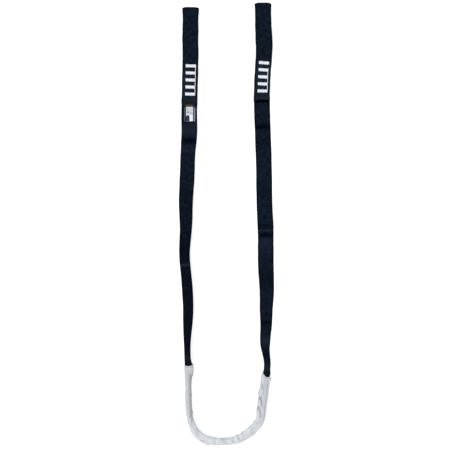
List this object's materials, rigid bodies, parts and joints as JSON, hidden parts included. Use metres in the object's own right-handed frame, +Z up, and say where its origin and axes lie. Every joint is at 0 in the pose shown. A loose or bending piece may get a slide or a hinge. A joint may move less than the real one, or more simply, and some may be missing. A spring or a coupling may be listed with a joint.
{
  "type": "flat web sling",
  "caption": "Flat webbing sling with a sewn eye at each end and a loose fabric wear sleeve round its bight, laid out in a long U.",
  "frame": {"origin": "middle of the sling's box in plan, on the table that it lies on", "axes": "+Y from the sleeved bight to the eyes, +X from the labelled leg to the other leg, +Z up off the table"},
  "size_m": [0.1524, 0.7076, 0.0281],
  "materials": {
    "webbing": "woven polyester, navy black, satin",
    "tack_thread": "white bonded sewing thread",
    "sleeve_fabric": "light grey plain-woven fabric, matte",
    "sleeve_thread": "light grey sewing thread",
    "label_print": "woven label with a printed panel, satin"
  },
  "bodies": {
    "sleeve": {"wear_sleeve": "sleeve_fabric", "bight_webbing": "webbing", "left_hem_stitching": "sleeve_thread", "right_hem_stitching": "sleeve_thread", "seam_stitching": "sleeve_thread"},
    "left_neck": {"left_neck_webbing": "webbing"},
    "left_leg": {"left_leg_webbing": "webbing"},
    "left_eye": {"left_eye_webbing": "webbing", "left_bar_tack_1": "tack_thread", "left_bar_tack_2": "tack_thread", "left_bar_tack_3": "tack_thread", "left_bar_tack_4": "tack_thread", "left_bar_tack_5": "tack_thread", "left_carry_thread": "tack_thread", "label_tail": "label_print"},
    "label": {"label_flap": "label_print"},
    "right_neck": {"right_neck_webbing": "webbing"},
    "right_leg": {"right_leg_webbing": "webbing"},
    "right_eye": {"right_eye_webbing": "webbing", "right_bar_tack_1": "tack_thread", "right_bar_tack_2": "tack_thread", "right_bar_tack_3": "tack_thread", "right_bar_tack_4": "tack_thread", "right_bar_tack_5": "tack_thread", "right_carry_thread": "tack_thread"}
  },
  "joints": [
    {"name": "left_feed", "type": "slide", "parent": "sleeve", "child": "left_neck", "axis": [-0.0368, 0.9993, 0], "range_m": [-0.012, 0.012]},
    {"name": "left_swing", "type": "hinge", "parent": "left_neck", "child": "left_leg", "pos_m": [-0.06863, -0.20379, 0.01286], "axis": [0, 0, 1], "range_deg": [-4, 90]},
    {"name": "left_fold", "type": "hinge", "parent": "left_leg", "child": "left_eye", "pos_m": [-0.05943, 0.1475, 0.00587], "axis": [0.9986, -0.016, 0.05], "range_deg": [0, 150]},
    {"name": "label_lift", "type": "hinge", "parent": "left_eye", "child": "label", "pos_m": [-0.05929, 0.19058, 0.00408], "axis": [-0.9999, 0.0123, 0], "range_deg": [0, 110]},
    {"name": "right_feed", "type": "slide", "parent": "sleeve", "child": "right_neck", "axis": [0.1595, 0.9872, 0], "range_m": [-0.012, 0.012]},
    {"name": "right_swing", "type": "hinge", "parent": "right_neck", "child": "right_leg", "pos_m": [0.07147, -0.21896, 0.01276], "axis": [0, 0, -1], "range_deg": [-4, 90]},
    {"name": "right_fold", "type": "hinge", "parent": "right_leg", "child": "right_eye", "pos_m": [0.05746, 0.1615, 0.0051], "axis": [0.9993, 0.037, 0], "range_deg": [0, 150]}
  ],
  "couplings": [
    {"joint": "right_feed", "follows": "left_feed", "ratio": -1}
  ]
}
